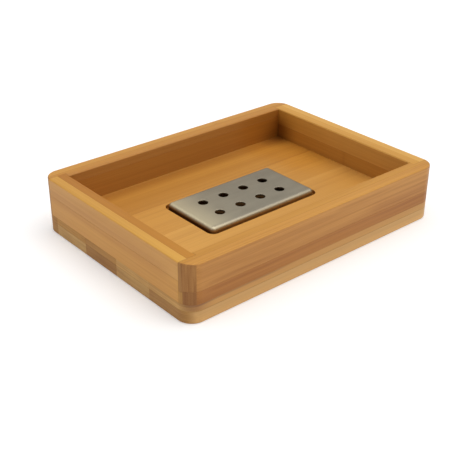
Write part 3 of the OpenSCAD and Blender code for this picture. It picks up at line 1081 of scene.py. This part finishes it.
class SOAPDISH_OT_upper_staves(bpy.types.Operator):
    """Make the staves of the base board's upper ply, with the plate's recess and the catch well"""

    bl_idname = "soap_dish.upper_staves"
    bl_label = "Upper staves"

    def execute(self, context):
        scene = context.scene
        dish = dish_sizes(scene.soap_dish_boards, scene.soap_dish_plate)
        plate = scene.soap_dish_plate
        recess = (
            dish.plate_length / 2 + plate.recess_gap,
            dish.plate_width / 2 + plate.recess_gap,
            plate.corner_radius + plate.recess_gap,
        )
        well = (
            dish.plate_length / 2 - plate.seat_lap,
            dish.plate_width / 2 - plate.seat_lap,
            plate.well_corner_radius,
        )
        field_corner = 4 * dish.arris
        field = (dish.length / 2 - dish.wall, dish.width / 2 - dish.wall, field_corner)
        for name in STAVES:
            node = f"upper_stave_{name}"
            low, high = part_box(node)
            flip = name in TURNED_STAVES
            notched = name in NOTCHED_STAVES
            outline = (dish.length / 2, dish.width / 2, dish.corner)
            rim = stave_plan(node, low, high, flip, *outline, well if notched else None)
            foot = stave_plan(node, low, high, flip, *field, well if notched else None)
            top = stave_plan(node, low, high, flip, *field, recess if notched else None)
            rings = np.concatenate(
                [
                    board_rings(dish, rim, low.z, dish.rim_z)[:-1],
                    board_rings(dish, foot, dish.rim_z, dish.seat_z)[[1, -2]],
                    board_rings(dish, top, dish.seat_z, high.z, top_shows=True)[1:],
                ]
            )
            in_recess = abs(rings[..., 0]) < recess[0] + dish.reach
            in_recess &= abs(rings[..., 1]) < recess[1] + dish.reach
            on_floor = rings[..., 2] > high.z - dish.arris * END_BAND
            rings[..., 3] *= np.where(on_floor, CAVITY_SEAM_SHARE, 1.0)
            # Points in the recess, below the floor, get painted shade
            painted_shade = in_recess & ~on_floor & notched
            if flip:
                painted_shade, on_floor = painted_shade[:, ::-1], on_floor[:, ::-1]
            add_board(node, turned(rings, False, flip), "base", scene.soap_dish_bamboo, painted_shade, on_floor)
        return {"FINISHED"}


# Drain plate

# Steps round a hole's eased edges, and round the bend and the skirt's cut edge
HOLE_EDGE_STEPS = 4
BEND_STEPS = 6
# Flat rings of a cell, as shares of the way from its hole out to its square edge
OUTWARD_SHARES = (0.0, 0.5, 1.0)
# Signs of X and Y at a rectangle's corners, anticlockwise from the back right
CORNER_SIGNS = ((1, 1), (-1, 1), (-1, -1), (1, -1))


def rounded_ring(half_length, half_width, radius, long_steps, short_steps, arc_steps):
    """A round-cornered rectangle as an anticlockwise loop from its back right corner's middle.

    Each side has as many steps as the rectangle of cells inside it, and gives arc_steps of them to each
    corner, where a point is the corner's centre + radius * (cos, sin).
    """

    def half_arc(corner, start):
        sign_x, sign_y = CORNER_SIGNS[corner % 4]
        angle = np.linspace(start, start + math.pi / 4, arc_steps + 1)
        x = sign_x * (half_length - radius) + radius * np.cos(angle)
        y = sign_y * (half_width - radius) + radius * np.sin(angle)
        return np.column_stack([x, y])

    rows = []
    for corner, steps in enumerate((long_steps, short_steps, long_steps, short_steps)):
        turn = math.pi / 4 + corner * math.pi / 2
        leave = half_arc(corner, turn)
        arrive = half_arc(corner + 1, turn + math.pi / 4)
        straight = np.linspace(0, 1, steps - 2 * arc_steps + 1)[1:-1, None]
        rows += [leave, leave[-1] + straight * (arrive[0] - leave[-1]), arrive[:-1]]
    return np.concatenate(rows)


def cell_rings(plate, top, bottom):
    """Rings through one cell: from its square edge on the top face, in to the hole, down through it and out
    to the square edge below. A flat ring is circle * (1 - s) + square * s, and the hole's edges are eased by
    quarter circles."""
    half = plate.hole_pitch / 2
    turn = math.pi / 4 + np.linspace(0, 2 * math.pi, 4 * plate.cell_steps, endpoint=False)
    circle = np.column_stack([np.cos(turn), np.sin(turn)])
    square = rounded_ring(half, half, 0.0, plate.cell_steps, plate.cell_steps, 0)
    radius, ease = plate.hole_diameter / 2, plate.edge_radius
    rings = []

    def flat(share, z):
        start = circle * (radius + 2 * ease)
        rings.append(np.column_stack([start * (1 - share) + square * share, np.full(len(turn), z)]))

    def round_wall(r, z):
        rings.append(np.column_stack([circle * r, np.full(len(turn), z)]))

    quarter = np.linspace(0, math.pi / 2, HOLE_EDGE_STEPS + 1)
    for share in reversed(OUTWARD_SHARES):
        flat(share, top)
    for angle in quarter:
        round_wall(radius + ease * (1 - math.sin(angle)), top - ease * (1 - math.cos(angle)))
    for angle in quarter:
        round_wall(radius + ease * (1 - math.cos(angle)), bottom + ease * (1 - math.sin(angle)))
    for share in OUTWARD_SHARES:
        flat(share, bottom)
    return np.array(rings)


def edge_rings(plate, dish, top, bottom, foot):
    """Rings round the plate's edge: from the cells below, out under the sheet, down the skirt's inside,
    round its cut edge, up its outside and over the bend to the cells above. Inset and height go round each
    rounding as a quarter circle, by its radius * sin and radius * (1 - cos) of an angle or the reverse."""
    long_steps, short_steps = plate.hole_columns * plate.cell_steps, plate.hole_rows * plate.cell_steps
    grid = (plate.hole_columns * plate.hole_pitch / 2, plate.hole_rows * plate.hole_pitch / 2)
    arc_steps = plate.cell_steps // 2
    rings = []

    def ring(inset, z):
        half = (dish.plate_length / 2 - inset, dish.plate_width / 2 - inset)
        radius = max(plate.corner_radius - inset, dish.arris)
        loop = rounded_ring(*half, radius, long_steps, short_steps, arc_steps)
        rings.append(np.column_stack([loop, np.full(len(loop), z)]))

    def grid_ring(z):
        loop = rounded_ring(*grid, 0.0, long_steps, short_steps, 0)
        rings.append(np.column_stack([loop, np.full(len(loop), z)]))

    bend_radius, sheet, ease = plate.bend_radius, plate.sheet, plate.edge_radius
    quarter = np.linspace(0, math.pi / 2, BEND_STEPS + 1)
    grid_ring(bottom)
    ring(bend_radius + ease, bottom)
    inner = bend_radius - sheet
    for angle in quarter:
        ring(bend_radius - inner * math.sin(angle), bottom - inner * (1 - math.cos(angle)))
    ring(sheet, foot + 2 * ease)
    for angle in quarter:
        ring(sheet - ease * (1 - math.cos(angle)), foot + ease * (1 - math.sin(angle)))
    for angle in quarter:
        ring(ease * (1 - math.sin(angle)), foot + ease * (1 - math.cos(angle)))
    ring(0.0, foot + 2 * ease)
    for angle in quarter:
        ring(bend_radius * (1 - math.cos(angle)), top - bend_radius * (1 - math.sin(angle)))
    ring(bend_radius + ease, top)
    grid_ring(top)
    return np.array(rings)


class SOAPDISH_OT_drain_plate(bpy.types.Operator):
    """Make the pressed steel plate with its drain holes"""

    bl_idname = "soap_dish.drain_plate"
    bl_label = "Drain plate"

    def execute(self, context):
        scene = context.scene
        plate = scene.soap_dish_plate
        dish = dish_sizes(scene.soap_dish_boards, plate)
        bottom = dish.plate_top - plate.sheet
        cell = cell_rings(plate, dish.plate_top, bottom)
        patches = [edge_rings(plate, dish, dish.plate_top, bottom, dish.seat_z)]
        for column in range(plate.hole_columns):
            for row in range(plate.hole_rows):
                x = (column - (plate.hole_columns - 1) / 2) * plate.hole_pitch
                y = (row - (plate.hole_rows - 1) / 2) * plate.hole_pitch
                patches.append(cell + np.array([x, y, 0.0]))
        shell = bmesh.new()
        for patch in patches:
            part = bpy.data.meshes.new("patch")
            part.from_pydata(patch.reshape(-1, 3).tolist(), [], skin(patch).tolist())
            shell.from_mesh(part)
            bpy.data.meshes.remove(part)
        weld = dish.arris / 10
        bmesh.ops.remove_doubles(shell, verts=shell.verts, dist=weld)
        mesh = bpy.data.meshes.new("pressed_drain_plate")
        shell.to_mesh(mesh)
        shell.free()
        add_piece(mesh.name, mesh, brushed_steel(plate), PLATE, ["drain_plate"])
        return {"FINISHED"}


# Stage

BLACK = (0.0, 0.0, 0.0)
WHITE = (1.0, 1.0, 1.0)
# Grid lines of the floor each way
FLOOR_LINES = 9
# In millimetres
SENSOR_WIDTH = 36.0
# Nearest thing that the camera sees, as a share of its distance, and the farthest, in floor reaches
NEAREST = 0.01
FARTHEST = 4.0


def direction(heading, height):
    """A unit vector on a heading from +Y towards +X, and so high above the floor, both as angles."""
    level = math.cos(height)
    return Vector((math.sin(heading) * level, math.cos(heading) * level, math.sin(height)))


def seen_directly(graph):
    """1 for camera, glossy and transmission rays, 0 for the rays that light the dish."""
    rays = graph.add("ShaderNodeLightPath")
    return rays["Is Camera Ray"].at_least(rays["Is Glossy Ray"]).at_least(rays["Is Transmission Ray"])


def add_floor(stage):
    """A flat grid under the dish. Camera rays add a little glow, so that the lit floor reads as white."""
    axis = np.linspace(-stage.floor_reach, stage.floor_reach, FLOOR_LINES)
    x, y = np.meshgrid(axis, axis)
    index = np.arange(x.size).reshape(x.shape)
    corners = [index[:-1, :-1], index[:-1, 1:], index[1:, 1:], index[1:, :-1]]
    faces = np.stack(corners, axis=-1).reshape(-1, 4)
    mesh = bpy.data.meshes.new("floor")
    mesh.from_pydata(np.column_stack([x.ravel(), y.ravel(), np.zeros(x.size)]).tolist(), [], faces.tolist())
    material = bpy.data.materials.new("white_floor")
    graph = Graph(material)
    graph.surface(
        {
            "Base Color": opaque(stage.floor),
            "Roughness": 1.0,
            "Specular IOR Level": 0.0,
            "Emission Color": graph.mix(seen_directly(graph), opaque(BLACK), opaque(WHITE)),
            "Emission Strength": stage.floor_glow,
        }
    )
    mesh.materials.append(material)
    floor = bpy.data.objects.new("floor", mesh)
    bpy.context.scene.collection.objects.link(floor)


def add_world(stage):
    """A white world whose strength falls smoothly from 1 at the horizon to the sky's strength overhead."""
    world = bpy.data.worlds.new("white_world")
    graph = Graph(world)
    heading = graph.split(graph.add("ShaderNodeTexCoord")["Generated"])
    overhead = [channel * stage.sky for channel in WHITE]
    colour = graph.mix(heading["Z"].step(0.0, math.sin(stage.haze)), opaque(WHITE), opaque(overhead))
    sky = graph.add("ShaderNodeBackground", {}, {"Color": colour, "Strength": 1.0})
    graph.add("ShaderNodeOutputWorld", {}, {"Surface": sky["Background"]})
    bpy.context.scene.world = world


def add_lamps(stage):
    """Two wide, soft suns high across the dish's corners, and a low rim sun that the steel mirrors. A sun of
    strength pi straight above a white surface lights it to 1, so each gets its share times pi over the
    sine of its height."""
    for name, heading, height, share in (
        ("back_lamp", -stage.lamp_heading, stage.lamp_height, stage.back_share),
        ("front_lamp", math.pi - stage.lamp_heading, stage.lamp_height, stage.front_share),
        ("rim_lamp", stage.rim_heading, stage.rim_height, stage.rim_share),
    ):
        place = direction(heading, height)
        data = bpy.data.lights.new(name, "SUN")
        data.energy = share * math.pi / place.z
        data.angle = stage.lamp_spread
        lamp = bpy.data.objects.new(name, data)
        lamp.matrix_world = Matrix.Translation(place) @ place.to_track_quat("Z", "Y").to_matrix().to_4x4()
        bpy.context.scene.collection.objects.link(lamp)


def add_camera(stage):
    """The camera looks at its aim from a distance, on a heading and from a height, rolled about its axis."""
    ahead = direction(stage.azimuth, -stage.elevation)
    data = bpy.data.cameras.new("camera")
    data.sensor_width = SENSOR_WIDTH
    data.lens = stage.focal_length
    data.clip_start = stage.distance * NEAREST
    data.clip_end = stage.floor_reach * FARTHEST
    camera = bpy.data.objects.new("camera", data)
    turn = ahead.to_track_quat("-Z", "Y").to_matrix() @ Matrix.Rotation(stage.roll, 3, "Z")
    camera.matrix_world = Matrix.Translation(Vector(stage.aim) - ahead * stage.distance) @ turn.to_4x4()
    bpy.context.scene.collection.objects.link(camera)
    bpy.context.scene.camera = camera


class SOAPDISH_OT_stage(bpy.types.Operator):
    """Make the floor, the world, the lamps and the camera"""

    bl_idname = "soap_dish.stage"
    bl_label = "Stage"

    def execute(self, context):
        stage = context.scene.soap_dish_stage
        add_floor(stage)
        add_world(stage)
        add_lamps(stage)
        add_camera(stage)
        context.scene.view_settings.view_transform = "Standard"
        return {"FINISHED"}


class SOAPDISH_PT_panel(bpy.types.Panel):
    """Lists the dish's settings and operators"""

    bl_idname = "SOAPDISH_PT_panel"
    bl_label = "Soap Dish"
    bl_space_type = "VIEW_3D"
    bl_region_type = "UI"
    bl_category = "Soap Dish"

    def draw(self, context):
        for group in GROUPS:
            settings = getattr(context.scene, group)
            box = self.layout.box()
            for name in settings.bl_rna.properties.keys():
                if name not in ("rna_type", "name"):
                    box.prop(settings, name)
        for operator in OPERATORS:
            self.layout.operator(operator.bl_idname)


GROUPS = {
    "soap_dish_boards": BoardSettings,
    "soap_dish_plate": PlateSettings,
    "soap_dish_bamboo": BambooSettings,
    "soap_dish_stage": StageSettings,
}
OPERATORS = (
    SOAPDISH_OT_lower_staves,
    SOAPDISH_OT_upper_staves,
    SOAPDISH_OT_long_walls,
    SOAPDISH_OT_short_walls,
    SOAPDISH_OT_drain_plate,
    SOAPDISH_OT_stage,
)


def register():
    """Registers every class and hangs the settings on the scene."""
    for cls in (*GROUPS.values(), *OPERATORS, SOAPDISH_PT_panel):
        bpy.utils.register_class(cls)
    for name, group in GROUPS.items():
        setattr(bpy.types.Scene, name, PointerProperty(type=group))


def unregister():
    """Takes the settings off the scene and unregisters every class."""
    for name in GROUPS:
        delattr(bpy.types.Scene, name)
    for cls in reversed((*GROUPS.values(), *OPERATORS, SOAPDISH_PT_panel)):
        bpy.utils.unregister_class(cls)


def main():
    """Makes the whole dish and its stage."""
    register()
    bpy.ops.soap_dish.lower_staves()
    bpy.ops.soap_dish.upper_staves()
    bpy.ops.soap_dish.long_walls()
    bpy.ops.soap_dish.short_walls()
    bpy.ops.soap_dish.drain_plate()
    bpy.ops.soap_dish.stage()


if __name__ == "__main__":
    main()
